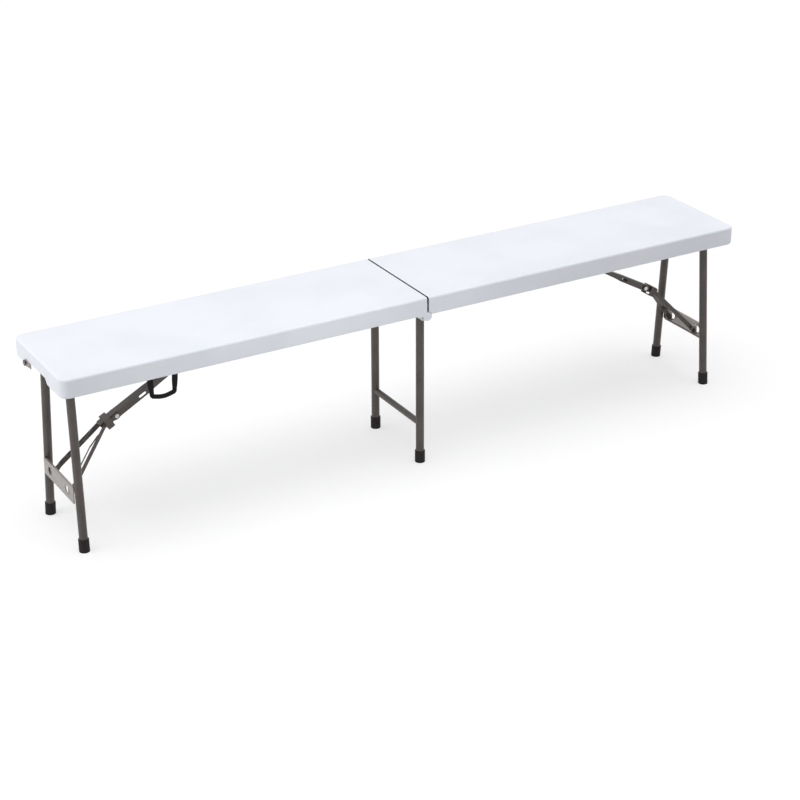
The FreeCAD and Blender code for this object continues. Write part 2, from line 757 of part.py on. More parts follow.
# Side view of the left brace: foot pivot, knee, link pin and the directions between them
BRACE_FOOT = Vec(-FOOT_X, FOOT_Z)
KNEE = Vec(-(AXLE_X - size("knee_inset")), PIVOT_Z - size("knee_drop"))
LINK_PIN = Vec(-LINK_X, PIVOT_Z)
BRACE_LENGTH = (LINK_PIN - KNEE).Length
STRUT_ALONG = (LINK_PIN - KNEE).normalize()
STRUT_UP = Vec(-STRUT_ALONG.y, STRUT_ALONG.x)
BEND = KNEE - STRUT_ALONG * size("arm_head")
ARM_ALONG = (BEND - BRACE_FOOT).normalize()
ARM_UP = Vec(-ARM_ALONG.y, ARM_ALONG.x)
ARM_END = size("arm_head") + (BEND - BRACE_FOOT).Length
ARM_STRAIGHT = ARM_END - size("lug_width")
HEAD_HALF = size("strut_width") / 2 + size("arm_gap") + size("arm_sheet") / 2
RING_HALF = size("strut_width") / 2 + size("arm_gap") + size("arm_sheet") + size("rivet_head_height") + size("ring_side_room")
RING_OUTER = RING_HALF + size("ring_wall")


def seen_on(side, point):
    """Side view point of the left brace, mirrored for the right half."""
    return (-side * point.x, point.y)


def along_strut(side, pairs):
    """Side view points given along the strut from the knee, and above its line."""
    return [seen_on(side, KNEE + STRUT_ALONG * s + STRUT_UP * t) for s, t in pairs]


def knee_pin(side):
    """Rivet through both arm heads and the strut."""
    x, z = seen_on(side, KNEE)
    return pin_across(word(side) + "_knee_rivet", x, z, "strut_width / 2 + arm_gap + arm_sheet", "rivet_head / 2")


def brace_strut(side):
    """Pressed channel, open below, from its tail past the knee to the end that slides on the link."""
    name = word(side) + "_brace_strut"
    top = size("strut_knee_top")
    low = size("strut_knee_low")
    tail = size("strut_tail")
    reach = size("strut_reach")
    wall = size("strut_wall")
    ring_far = size("ring_centre") + size("ring_length") / 2
    ring_near = size("ring_centre") - size("ring_length") / 2
    outline = [
        (-tail, 0), (-ring_far, 0), (-ring_near, -0.8 * low), (-ring_near / 3, -low),
        (size("strut_mid"), -size("strut_mid_low")), (size("strut_neck"), -size("strut_neck_low")),
        (reach, -size("strut_end_low")), (reach, size("strut_end_top")),
        (size("strut_neck"), size("strut_neck_top")), (size("strut_mid"), size("strut_mid_top")),
        (0, top), (-tail, top),
    ]
    soft = 4 * wall
    edges = rounded(along_strut(side, outline), [wall, wall, wall, wall, soft, soft, 1, 1, soft, soft, 2 * soft, wall])
    outer = padded(name + "_outer", "XZ_Plane", edges, "strut_width")
    under = -2 * low
    hollow = [
        (-tail - wall, under), (reach + wall, under), (reach + wall, size("strut_end_top") - wall),
        (size("strut_neck"), size("strut_neck_top") - wall), (size("strut_mid"), size("strut_mid_top") - wall),
        (0, top - wall), (-tail - wall, top - wall),
    ]
    inner = padded(name + "_inner", "XZ_Plane", rounded(along_strut(side, hollow), [0] * 7),
                   "strut_width - 2 * strut_wall")
    half = size("strut_slot_height") / 2
    near = size("strut_slot_near")
    far = size("strut_slot_far")
    slot = padded(name + "_slot", "XZ_Plane",
                  rounded(along_strut(side, [(near, -half), (far, -half), (far, half), (near, half)]), [0.95 * half] * 4),
                  "2 * strut_width")
    x, z = seen_on(side, KNEE)
    hole = rod_y(name + "_hole", x, z, "-strut_width", "strut_width", "pivot_diameter / 2 + running_fit")
    return cut(name, outer, inner, slot, hole)


def lock_ring(side):
    """Rectangular sheet collar around the strut's tail and both arm heads."""
    name = word(side) + "_lock_ring"
    near = size("ring_length") / 2 - size("ring_centre")
    far = -size("ring_length") / 2 - size("ring_centre")
    top = size("strut_knee_top") + size("ring_top_room")
    low = -size("strut_knee_low") - size("ring_low_room")
    wall = size("ring_wall")
    shell = [(far, low - wall), (near, low - wall), (near, top + wall), (far, top + wall)]
    hollow = [(far - 1, low), (near + 1, low), (near + 1, top), (far - 1, top)]
    outer = padded(name + "_outer", "XZ_Plane", rounded(along_strut(side, shell), [0] * 4), 2 * RING_OUTER)
    inner = padded(name + "_inner", "XZ_Plane", rounded(along_strut(side, hollow), [0] * 4), 2 * RING_HALF)
    return cut(name, outer, inner)


def brace_link(side):
    """Inverted channel link from its pin on the seat into the open side of the strut."""
    name = word(side) + "_brace_link"
    half = size("link_half_height")
    eye = size("link_eye")
    wall = size("strut_wall")
    near = size("link_near")
    under = size("strut_end_top") - wall - size("clear_fit")
    leave = size("strut_reach") + wall
    outline = [
        (near, wall - half), (BRACE_LENGTH - 3 * eye, -half), (BRACE_LENGTH - eye, -eye), (BRACE_LENGTH + eye, -eye),
        (BRACE_LENGTH + eye, eye), (BRACE_LENGTH - eye, eye), (BRACE_LENGTH - 3 * eye, half),
        (leave + 3 * wall, half), (leave, under), (near, under),
    ]
    radii = [1, half, half, 0.9 * eye, 0.9 * eye, half, half, wall, wall, 1]
    width = "strut_width - 2 * strut_wall - 2 * link_side_room"
    solid = padded(name + "_solid", "XZ_Plane", rounded(along_strut(side, outline), radii), width)
    hollow = [
        (near - 1, -2 * half), (BRACE_LENGTH - 3 * eye, -2 * half), (BRACE_LENGTH - 3 * eye, half - wall),
        (leave + 3 * wall, half - wall), (leave, under - wall), (near - 1, under - wall),
    ]
    groove = padded(name + "_groove", "XZ_Plane", rounded(along_strut(side, hollow), [0] * 6), width + " - 2 * strut_wall")
    x, z = seen_on(side, LINK_PIN)
    hole = rod_y(name + "_hole", x, z, "-strut_width", "strut_width", "pivot_diameter / 2 + running_fit")
    return cut(name, solid, groove, hole)


def arm_spread(reach):
    """Distance of an arm's web from the middle plane, at a distance along it from the knee."""
    share = (reach - size("arm_head")) / (ARM_STRAIGHT - size("arm_head"))
    return HEAD_HALF + min(1, max(0, share)) * (size("brace_foot_half") - HEAD_HALF)


def flange_spread(reach):
    """Distance of the flange's inner edge from the middle plane, clear of the ring."""
    return max(arm_spread(reach) - size("arm_flange"), RING_OUTER + size("clear_fit"))


def arm_plan(name, side, row, pairs):
    """Plan outline along an arm, carried up through the height of the brace."""
    points = []
    for reach, spread in pairs:
        over = reach - size("arm_head")
        spot = BEND - ARM_ALONG * over if over > 0 else KNEE - STRUT_ALONG * reach
        points.append((-side * spot.x, row * spread))
    return padded(name, "XY_Plane", rounded(points, [0] * len(points)), Z_AXLE, centred=False)


def brace_arm(side, row):
    """Pressed angle arm from the knee to its lug: an upright web and a windowed flange."""
    name = "%s_%s_arm" % (word(side), place(row))
    half = size("arm_height") / 2
    head = size("arm_head_radius")
    foot = size("lug_width") / 2 - 1
    turn = size("pivot_diameter") / 2 + size("running_fit")
    side_view = [
        KNEE + STRUT_ALONG * head + STRUT_UP * head,
        KNEE + STRUT_ALONG * head - STRUT_UP * head,
        KNEE - STRUT_ALONG * head / 2 - STRUT_UP * head,
        KNEE - STRUT_ALONG * head * 1.4 - STRUT_UP * half,
        BEND - STRUT_UP * half,
        BRACE_FOOT + ARM_ALONG * 2 * foot - ARM_UP * half,
        BRACE_FOOT - ARM_ALONG * foot - ARM_UP * foot,
        BRACE_FOOT - ARM_ALONG * foot + ARM_UP * foot,
        BRACE_FOOT + ARM_ALONG * 2 * foot + ARM_UP * half,
        BEND + STRUT_UP * half,
        KNEE - STRUT_ALONG * head * 1.4 + STRUT_UP * half,
        KNEE - STRUT_ALONG * head / 2 + STRUT_UP * head,
    ]
    radii = [0.9 * head, 0.9 * head, 2, 2, half, 3, 0.9 * foot, 0.9 * foot, 3, half, 2, 2]
    knee = seen_on(side, KNEE)
    pivot = seen_on(side, BRACE_FOOT)
    profile = padded(name + "_side", "XZ_Plane", rounded([seen_on(side, p) for p in side_view], radii), "seat_width",
                     [(knee[0], knee[1], turn), (pivot[0], pivot[1], turn)])
    skin = size("arm_sheet") / 2
    reaches = [-2 * head, size("arm_head"), ARM_STRAIGHT, ARM_END + 2 * foot]
    outer = [(reach, arm_spread(reach) + skin) for reach in reaches]
    inner = [(reach, arm_spread(reach) - skin) for reach in reversed(reaches)]
    web = common(name + "_web", profile, arm_plan(name + "_web_plan", side, row, outer + inner))
    return fuse(name, web, arm_flange(side, row, name))


def arm_flange(side, row, name):
    """Flange turned inwards along an arm's upper edge, with its long window."""
    half = size("arm_height") / 2
    near = size("flange_near")
    far = size("flange_far")
    head = size("arm_head")
    strip = [
        BEND - ARM_ALONG * (reach - head) + ARM_UP * height
        for reach, height in ((near, half), (far, half), (far, half - size("arm_sheet")), (near, half - size("arm_sheet")))
    ]
    profile = padded(name + "_flange_side", "XZ_Plane", rounded([seen_on(side, p) for p in strip], [0] * 4), "seat_width")
    widest = RING_OUTER + size("clear_fit") + size("arm_flange")
    bend = head + (widest - HEAD_HALF) / (size("brace_foot_half") - HEAD_HALF) * (ARM_STRAIGHT - head)
    ease = size("arm_height")
    root = [(reach, arm_spread(reach)) for reach in (near, far)]
    edge = [(far, arm_spread(far) - size("arm_sheet"))]
    edge += [(reach, flange_spread(reach)) for reach in (far - ease, bend, near)]
    sheet_part = common(name + "_flange_sheet", profile, arm_plan(name + "_flange_plan", side, row, root + edge))
    start = size("window_near")
    end = size("window_far")
    rim = size("window_rim")
    gap = [(reach, arm_spread(reach) - size("arm_sheet") / 2) for reach in (start, end)]
    gap += [(reach, flange_spread(reach) + rim) for reach in (end, bend, start)]
    return cut(name + "_flange", sheet_part, arm_plan(name + "_window", side, row, gap))


def hinge_rod():
    """Steel rod through the whole centre hinge."""
    end = "(%s - rod_cover - clear_fit)" % Y_SIDE
    return rod_y("hinge_rod", "0", Z_HINGE, "-" + end, end, "rod_diameter / 2")


def mid_sleeve():
    """Cross tube of the middle frame, turning on the hinge rod, and its solid outer shape."""
    half = "(%s - sleeve_end_gap)" % Y_BRACKET
    solid = rod_y("mid_sleeve_solid", "0", Z_HINGE, "-" + half, half, "sleeve_diameter / 2")
    bore = rod_y("mid_sleeve_bore", "0", Z_HINGE, "-%s - 1" % half, half + " + 1", "rod_diameter / 2 + running_fit")
    return cut("mid_sleeve", solid, bore), solid


def mid_crossbar(legs):
    """Round bar between the middle legs, coped to them."""
    bar = rod_y("mid_crossbar_bar", "0", "crossbar_z", -MID_FOOT, MID_FOOT, "crossbar_diameter / 2")
    bore = rod_y("mid_crossbar_bore", "0", "crossbar_z", -MID_FOOT, MID_FOOT, "crossbar_diameter / 2 - tube_wall")
    return cut("mid_crossbar", bar, bore, *legs)


def handle_tabs():
    """Fixed upper ends of the handle's straps, screwed inside the front skirt."""
    made = []
    for number, x in enumerate(HANDLE_AT):
        blank = box("handle_tab_blank%d" % number, "%s - handle_strap / 2" % x, "-" + Y_INNER, Z_TAB,
                    "handle_strap", "handle_thickness", "handle_tab")
        hole = rod_y("handle_tab_hole%d" % number, x, Z_TAB + " + handle_tab / 2", "-" + Y_SIDE, "-" + Y_RAIL_IN, R_SCREW_HOLE)
        made.append(cut("handle_tab%d" % number, blank, hole))
    return group("handle_tabs", *made)


def handle_screws():
    """Screws through the handle's tabs into the front skirt."""
    made = []
    inner = "-" + Y_INNER + " + handle_thickness"
    for number, x in enumerate(HANDLE_AT):
        z = Z_TAB + " + handle_tab / 2"
        head = rod_y("handle_screw_head%d" % number, x, z, inner, inner + " + screw_head_height", "handle_screw_head / 2")
        shank = rod_y("handle_screw_shank%d" % number, x, z, "-" + Y_SIDE + " + skirt_wall / 2 + clear_fit", inner, R_SCREW)
        made.append(fuse("handle_screw%d" % number, head, shank))
    return group("handle_screws", *made)


def carry_handle():
    """Hanging part of the handle: two straps that hinge below the tabs and a thick grip."""
    middle = "-" + Y_INNER + " + handle_thickness / 2"
    parts = []
    for number, x in enumerate(HANDLE_AT):
        low = "%s - handle_strap / 2" % x
        parts.append(box("handle_strap%d" % number, low, "-" + Y_INNER, Z_HINGE + " - handle_drop",
                         "handle_strap", "handle_thickness", "handle_drop"))
        parts.append(rod("handle_fold%d" % number, "X", low, middle, Z_HINGE, "handle_strap", "handle_thickness / 2"))
    parts.append(rod("handle_grip", "X", "%s - handle_strap / 2" % HANDLE_AT[0], middle, Z_HINGE + " - handle_drop",
                     "handle_span + handle_strap", "handle_grip / 2"))
    return fuse("carry_handle", *parts)


def latch_hook():
    """Flat hook on the left end that swings down onto the stud of the folded right half."""
    y = size("latch_y")
    z = SKIRT_LOW + size("latch_lift")
    hub = size("latch_hub")
    drop = 2 * (z - HINGE_Z)
    tip = y - drop - size("latch_tip")
    half = size("latch_arm_width") / 2
    outline = [(y + hub, z - hub), (y + hub, z + hub), (y - hub, z + hub), (y - 2 * hub, z + half), (tip, z + half),
               (tip, z - half), (y - 2 * hub, z - half), (y - hub, z - hub)]
    radii = [0.9 * hub, 0.9 * hub, hub / 2, 1, half / 2, half / 2, 1, hub / 2]
    blank = padded("latch_blank", "YZ_Plane", rounded(outline, radii), "latch_sheet",
                   [(y, z, size("stud_diameter") / 2 + size("running_fit"))],
                   Placement__Base__x="-(%s + clear_fit + latch_sheet / 2)" % X_END)
    gate = size("stud_diameter") / 2 + size("clear_fit")
    middle = y - drop
    mouth = [(middle - gate, z - hub), (middle + gate, z - hub), (middle + gate, z + gate), (middle - gate, z + gate)]
    slot = padded("latch_mouth", "YZ_Plane", rounded(mouth, [0, 0, 0.95 * gate, 0.95 * gate]), "6 * latch_sheet",
                  Placement__Base__x="-" + X_END)
    return cut("latch_hook", blank, slot)


def latch_stud(name, side):
    """Headed stud through an end skirt."""
    parts = []
    for part, near, far, radius in (
        ("shank", X_END + " - skirt_wall - 1", X_END + " + stud_length", "stud_diameter / 2"),
        ("head", X_END + " + stud_length", X_END + " + stud_length + rivet_head_height", "stud_diameter"),
    ):
        x, length = stretch(side, near, far)
        parts.append(rod("%s_%s" % (name, part), "X", x, "latch_y", Z_LATCH, length, radius))
    return fuse(name, *parts)


nodes = []
for side in (-1, 1):
    first = word(side)
    nodes.append(seat_panel(side))
    nodes += [rail(side, -1), rail(side, 1)]
    nodes.append(hinge_plates(side))
    nodes.append(axle_brackets(side))
    nodes.append(link_bracket(side))
    nodes.append(pin_across(first + "_link_pin", signed(side, X_LINK), Z_AXLE, "strut_width / 2",
                            "pivot_diameter / 2 + sheet_thickness"))
    nodes.append(screws(first + "_rail_screws", rail_screw_places(side, -1) + rail_screw_places(side, 1), Z_RAIL))
    nodes.append(screws(first + "_bracket_screws", bracket_screw_places(side), Z_PANEL + " - sheet_thickness"))
    axle, axle_solid = axle_tube(side)
    nodes.append(axle)
    for row in (-1, 1):
        top, foot = leg_line(side, row)
        nodes.append(leg_tube("%s_%s_leg" % (first, place(row)), top, foot, axle_solid)[0])
        nodes.append(rubber_foot("%s_%s_foot" % (first, place(row)), top, foot))
    nodes.append(cross_plate(side))
    nodes.append(brace_lugs(side))
    nodes.append(foot_rivets(side))
    nodes += [brace_arm(side, -1), brace_arm(side, 1)]
    nodes.append(knee_pin(side))
    nodes.append(brace_strut(side))
    nodes.append(lock_ring(side))
    nodes.append(brace_link(side))

nodes.append(hinge_rod())
sleeve, sleeve_solid = mid_sleeve()
nodes.append(sleeve)
mid_legs = []
for row in (-1, 1):
    top, foot = mid_leg_line(row)
    leg, leg_solid = leg_tube("mid_%s_leg" % place(row), top, foot, sleeve_solid)
    mid_legs.append(leg_solid)
    nodes.append(leg)
    nodes.append(rubber_foot("mid_%s_foot" % place(row), top, foot))
nodes.append(mid_crossbar(mid_legs))
nodes += [handle_tabs(), handle_screws(), carry_handle()]
nodes += [latch_stud("latch_pin", -1), latch_hook(), latch_stud("latch_stud", 1)]
doc.recompute()

faults = [obj.Name for obj in doc.Objects if "Invalid" in obj.State or "Error" in obj.State]
if faults:
    raise RuntimeError("features that failed: " + ", ".join(faults))
for node in nodes:
    if node.Shape.isNull() or not node.Shape.isValid() or not node.Shape.Solids:
        raise RuntimeError("shape that failed: " + node.Label)

os.makedirs("parts", exist_ok=True)
for node in nodes:
    node.Shape.exportStep("parts/%s.step" % node.Label)
print(len(nodes), "nodes,", sum(len(node.Shape.Solids) for node in nodes), "solids")
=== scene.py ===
import math

import bpy
import numpy as np
from mathutils import Matrix


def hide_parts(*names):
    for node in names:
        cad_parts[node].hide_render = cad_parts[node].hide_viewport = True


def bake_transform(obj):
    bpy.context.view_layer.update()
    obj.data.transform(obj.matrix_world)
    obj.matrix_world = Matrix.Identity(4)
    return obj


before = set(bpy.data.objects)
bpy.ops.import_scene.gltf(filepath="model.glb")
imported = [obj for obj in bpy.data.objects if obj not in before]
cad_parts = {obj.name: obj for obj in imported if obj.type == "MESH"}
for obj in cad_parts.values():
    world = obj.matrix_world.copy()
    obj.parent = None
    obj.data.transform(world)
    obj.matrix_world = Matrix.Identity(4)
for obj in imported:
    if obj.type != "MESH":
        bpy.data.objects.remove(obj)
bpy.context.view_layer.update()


# small tools for colours, shader nodes and meshes

def toLinear(hexColour):
    # sRGB hex to the linear colour that the shaders take
    shares = [int(hexColour[i:i + 2], 16) / 255 for i in (1, 3, 5)]
    return [s / 12.92 if s < 0.04045 else ((s + 0.055) / 1.055) ** 2.4 for s in shares] + [1.0]


def addNode(tree, kind, settings=None, links=None):
    # one shader node: its ramp tones, unlinked sockets or attributes set, and its inputs linked
    node = tree.nodes.new("ShaderNode" + kind)
    for name, value in (settings or {}).items():
        if name == "tones":
            for element, (position, colour) in zip(node.color_ramp.elements, value):
                element.position = position
                element.color = toLinear(colour)
        elif isinstance(name, int) or name in node.inputs:
            node.inputs[name].default_value = value
        else:
            setattr(node, name, value)
    for name, source in (links or {}).items():
        tree.links.new(source, node.inputs[name])
    return node


def startMaterial(name, shine):
    # a Principled material with its constant values on the shader's own sockets
    material = bpy.data.materials.new(name)
    material.use_nodes = True
    tree = material.node_tree
    shader = tree.nodes["Principled BSDF"]
    for socket, value in shine.items():
        shader.inputs[socket].default_value = value
    place = addNode(tree, "TexCoord").outputs["Object"]
    return material, tree, shader, place


noiseLow, noiseHigh = 0.3, 0.7  # nearly all the values of a noise pattern lie between these


def linkSurface(tree, shader, look, colour, cloud, height=None):
    # colour, roughness that follows a cloudy pattern, and fine relief of (strength, depth in metres)
    smooth, rough = look["roughness"]
    dulled = addNode(tree, "MapRange", {
        "From Min": noiseLow, "From Max": noiseHigh, "To Min": smooth, "To Max": rough,
    }, {"Value": cloud})
    tree.links.new(colour, shader.inputs["Base Color"])
    tree.links.new(dulled.outputs["Result"], shader.inputs["Roughness"])
    if height:
        strength, depth = look["relief"]
        bump = addNode(tree, "Bump", {"Strength": strength, "Distance": depth}, {"Height": height})
        tree.links.new(bump.outputs["Normal"], shader.inputs["Normal"])


def gridMesh(name, rings):
    # a surface from an array of rings x points x 3, each ring closed, with a cap on both ends
    count, around = rings.shape[:2]
    index = np.arange(count * around).reshape(count, around)
    here = index[:-1]
    ahead = index[1:]
    quads = np.stack([here, np.roll(here, -1, 1), np.roll(ahead, -1, 1), ahead], -1).reshape(-1, 4)
    faces = quads.tolist() + [index[0][::-1].tolist(), index[-1].tolist()]
    mesh = bpy.data.meshes.new(name)
    mesh.from_pydata(rings.reshape(-1, 3).tolist(), [], faces)
    mesh.polygons.foreach_set("use_smooth", [True] * len(mesh.polygons))
    mesh.update()
    piece = bpy.data.objects.new(name, mesh)
    bpy.context.scene.collection.objects.link(piece)
    return piece


# High-density polyethylene, blow-moulded: white with a cool cast, a satin skin and the fine
# pebble grain of the etched mould. The real grain is about 1 mm across; it is drawn at 2.5 mm.
# Painted shade: the two end walls that meet at the middle gap are drawn dark, standing in for the
# shadow in the narrow gap, in a strip along their top and skirt edges that ends above the hinge ears.
# Each gap-shade row gives where it ends, where it is at its strongest, and how strong that is.
seatPlastic = {
    "shine": {"IOR": 1.54, "Specular IOR Level": 0.42},
    "waveSize": 0.16, "tones": [(0.35, "#eef1f9"), (0.62, "#f3f6fd")], "roughness": (0.44, 0.52),
    "grainSize": 0.0025, "grainRoughness": 0.6, "relief": (0.25, 0.0002),
    # painted shade: the dark colour that stands in for the shadow in the middle gap
    "gapShade": "#1d1e21",
    "gapShadeWall": (0.0024, 0.0023, 1.0),     # distance from the middle of the gap
    "gapShadeTop": (0.4400, 0.4425, 0.90),     # height
    "gapShadeSkirt": (0.1330, 0.1355, 1.0),    # distance from the bench's middle line
    "gapShadeFoot": (0.4095, 0.4115, 1.0),     # height
}


def makeSeatPlastic(look):
    material, tree, shader, place = startMaterial("blowMouldedPolyethylene", look["shine"])
    waves = addNode(tree, "TexNoise", {"Scale": 1 / look["waveSize"], "Detail": 2.0}, {"Vector": place})
    grain = addNode(tree, "TexNoise", {
        "Scale": 1 / look["grainSize"], "Detail": 3.0, "Roughness": look["grainRoughness"],
    }, {"Vector": place})
    plain = addNode(tree, "ValToRGB", {"tones": look["tones"]}, {"Fac": waves.outputs["Fac"]})
    spot = addNode(tree, "SeparateXYZ", links={"Vector": place}).outputs
    fromGap, fromMiddle = [
        addNode(tree, "Math", {"operation": "ABSOLUTE"}, {0: spot[axis]}).outputs[0] for axis in "XY"]
    wall, top, skirt, foot = [
        addNode(tree, "MapRange", {"From Min": ends, "From Max": full, "To Max": strength},
                {"Value": source}).outputs["Result"]
        for (ends, full, strength), source in (
            (look["gapShadeWall"], fromGap), (look["gapShadeTop"], spot["Z"]),
            (look["gapShadeSkirt"], fromMiddle), (look["gapShadeFoot"], spot["Z"]))]
    # painted shade: the end walls at the middle gap darken along their top and skirt edges, standing in for the
    # shadow in the narrow gap
    strip = addNode(tree, "Math", {"operation": "MAXIMUM"}, {0: top, 1: skirt}).outputs[0]
    onWall = addNode(tree, "Math", {"operation": "MULTIPLY"}, {0: wall, 1: foot}).outputs[0]
    paintedGapShade = addNode(tree, "Math", {"operation": "MULTIPLY"}, {0: strip, 1: onWall}).outputs[0]
    mixed = addNode(tree, "Mix", {"data_type": "RGBA", 7: toLinear(look["gapShade"])},
                    {0: paintedGapShade, 6: plain.outputs["Color"]})
    linkSurface(tree, shader, look, mixed.outputs[2], waves.outputs["Fac"], grain.outputs["Fac"])
    return material


# Powder coat on steel tube and pressings: a baked polyester film, warm grey-brown, with a faint
# orange-peel surface (about 2 mm) and metallic flecks that show as slightly paler specks.
powderCoat = {
    "shine": {"IOR": 1.5, "Specular IOR Level": 0.5, "Metallic": 0.25,
              "Coat Weight": 0.15, "Coat Roughness": 0.25},
    "blotchSize": 0.06, "tones": [(0.3, "#453f3b"), (0.7, "#57504b")], "roughness": (0.34, 0.46),
    "fleckSize": 0.0011, "fleck": "#766e68", "fleckSpan": (0.6, 0.75), "fleckShare": 0.6,
    "peelSize": 0.002, "relief": (0.3, 0.0001),
}


def makePowderCoat(look):
    material, tree, shader, place = startMaterial("powderCoatedSteel", look["shine"])
    blotch = addNode(tree, "TexNoise", {"Scale": 1 / look["blotchSize"], "Detail": 3.0}, {"Vector": place})
    flecks = addNode(tree, "TexNoise", {"Scale": 1 / look["fleckSize"], "Detail": 2.0}, {"Vector": place})
    peel = addNode(tree, "TexNoise", {"Scale": 1 / look["peelSize"], "Detail": 1.0}, {"Vector": place})
    base = addNode(tree, "ValToRGB", {"tones": look["tones"]}, {"Fac": blotch.outputs["Fac"]})
    bare, full = look["fleckSpan"]
    specks = addNode(tree, "MapRange", {"From Min": bare, "From Max": full, "To Max": look["fleckShare"]},
                     {"Value": flecks.outputs["Fac"]})
    mixed = addNode(tree, "Mix", {"data_type": "RGBA", 7: toLinear(look["fleck"])},
                    {0: specks.outputs["Result"], 6: base.outputs["Color"]})
    linkSurface(tree, shader, look, mixed.outputs[2], blotch.outputs["Fac"], peel.outputs["Fac"])
    return material


# The same coat over pressed sheet, drawn paler as painted reflection of the bright backdrop on the plate's
# outer face, with faint drawing lines 3 mm apart that run the length of the plate (along Y), stretched to about
# 6 to the metre.
plateWithPaintedReflection = {
    "shine": {"Specular IOR Level": 0.5, "Metallic": 0.55},
    # painted reflection: these pale tones stand in for the bright backdrop reflected in the plate's outer face
    "lineSize": 0.003, "perMetre": 6.0, "tones": [(0.3, "#8a8480"), (0.7, "#b3adaa")],
    "roughness": (0.3, 0.42), "relief": (0.15, 0.0001),
}


def makePlateWithPaintedReflection(look):
    material, tree, shader, place = startMaterial("sheetSteelPaintedReflection", look["shine"])
    across = 1 / look["lineSize"]
    stretched = addNode(tree, "Mapping", {"Scale": (across, look["perMetre"], across)}, {"Vector": place})
    lines = addNode(tree, "TexNoise", {"Scale": 1.0, "Detail": 2.0}, {"Vector": stretched.outputs["Vector"]})
    base = addNode(tree, "ValToRGB", {"tones": look["tones"]}, {"Fac": lines.outputs["Fac"]})
    linkSurface(tree, shader, look, base.outputs["Color"], lines.outputs["Fac"], lines.outputs["Fac"])
    return material


# Zinc-plated steel fasteners and pins: bright grey with a soft cloud of passivation 8 mm across.
zincPlate = {
    "shine": {"Metallic": 1.0},
    "cloudSize": 0.008, "tones": [(0.3, "#a9aaa8"), (0.7, "#d5d6d4")], "roughness": (0.24, 0.38),
}


def makeZincPlate(look):
    material, tree, shader, place = startMaterial("zincPlatedSteel", look["shine"])
    cloud = addNode(tree, "TexNoise", {"Scale": 1 / look["cloudSize"], "Detail": 3.0}, {"Vector": place})
    base = addNode(tree, "ValToRGB", {"tones": look["tones"]}, {"Fac": cloud.outputs["Fac"]})
    linkSurface(tree, shader, look, base.outputs["Color"], cloud.outputs["Fac"])
    return material


# Moulded rubber caps: near black with a brown cast, dull, with a sanded mould grain (drawn at
# 1.5 mm) and a dusty paler bloom.
footRubber = {
    "shine": {"IOR": 1.52, "Specular IOR Level": 0.25},
    "bloomSize": 0.02, "tones": [(0.35, "#1c1718"), (0.7, "#292424")], "roughness": (0.63, 0.76),
    "grainSize": 0.0015, "relief": (0.3, 0.0001),
}

# Moulded nylon strap handle: black, satin, with the same kind of fine mould grain.
handleNylon = {
    "shine": {"IOR": 1.52, "Specular IOR Level": 0.12},
    "bloomSize": 0.03, "tones": [(0.35, "#0c0c0d"), (0.7, "#171719")], "roughness": (0.45, 0.58),
    "grainSize": 0.0012, "relief": (0.3, 0.0001),
}


def makeMoulded(name, look):
    material, tree, shader, place = startMaterial(name, look["shine"])
    bloom = addNode(tree, "TexNoise", {"Scale": 1 / look["bloomSize"], "Detail": 4.0}, {"Vector": place})
    grain = addNode(tree, "TexNoise", {"Scale": 1 / look["grainSize"], "Detail": 2.0}, {"Vector": place})
    base = addNode(tree, "ValToRGB", {"tones": look["tones"]}, {"Fac": bloom.outputs["Fac"]})
    linkSurface(tree, shader, look, base.outputs["Color"], bloom.outputs["Fac"], grain.outputs["Fac"])
    return material


finishes = {
    "seat_plastic": makeSeatPlastic(seatPlastic),
    "frame_steel": makePowderCoat(powderCoat),
    "plate_steel": makePlateWithPaintedReflection(plateWithPaintedReflection),
    "bright_steel": makeZincPlate(zincPlate),
    "foot_rubber": makeMoulded("mouldedFootRubber", footRubber),
    "handle_plastic": makeMoulded("mouldedHandleNylon", handleNylon),
}
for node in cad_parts.values():
    for slot in node.material_slots:
        slot.material = finishes[slot.material.name.split(".")[0]]
print("finishes:", len(finishes), "on", len(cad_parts), "nodes")


# The carrying handle is one moulded strap, screwed inside the front skirt at both ends.
carryStrap = {
    "left": -0.712, "right": -0.650,      # middles of the two posts, at the top
    "drawIn": 0.0035,                     # how far each post leans in by its corner
    "depth": -0.1388,                     # Y of the strap's middle
    "top": 0.4115, "grip": 0.3582, "sag": 0.0040,
    "fold": 0.399, "foldHalf": 0.0025,    # height of the bend, and half the length that bends
    "flatBelow": 0.008,                   # how far below the bend the posts stay flat
    "cornerRadius": 0.0052,
    "postHalf": (0.0070, 0.0012),         # half sizes of a post: along the bench, through the strap
    "gripHalf": (0.0050, 0.0040),
    "postPower": 7.0, "gripPower": 2.8,   # a higher power squares the section
    "straightRings": 28, "cornerRings": 7, "around": 28,
}


def strapPath(s):
    # x and z of points down the left post on a straight line that leans in by drawIn, round a quarter
    # circle by sine and cosine, and along the grip, which sags by the sine of half a turn over its
    # length; then the corner and the post mirrored about the middle
    r = s["cornerRadius"]
    low = s["left"] + s["drawIn"]
    t = np.linspace(0, 1, s["straightRings"])
    turn = np.linspace(0, math.pi / 2, s["cornerRings"] + 2)[1:-1]
    post = np.stack([s["left"] + s["drawIn"] * t, s["top"] + (s["grip"] + r - s["top"]) * t], -1)
    corner = np.stack([low + r * (1 - np.cos(turn)), s["grip"] + r * (1 - np.sin(turn))], -1)
    descent = np.concatenate([post, corner])
    ascent = descent[::-1] * (-1, 1) + (s["left"] + s["right"], 0)
    span = s["right"] + s["left"] - 2 * (low + r)
    grip = np.stack([low + r + span * t, s["grip"] - s["sag"] * np.sin(math.pi * t)], -1)
    return np.concatenate([descent, grip, ascent])


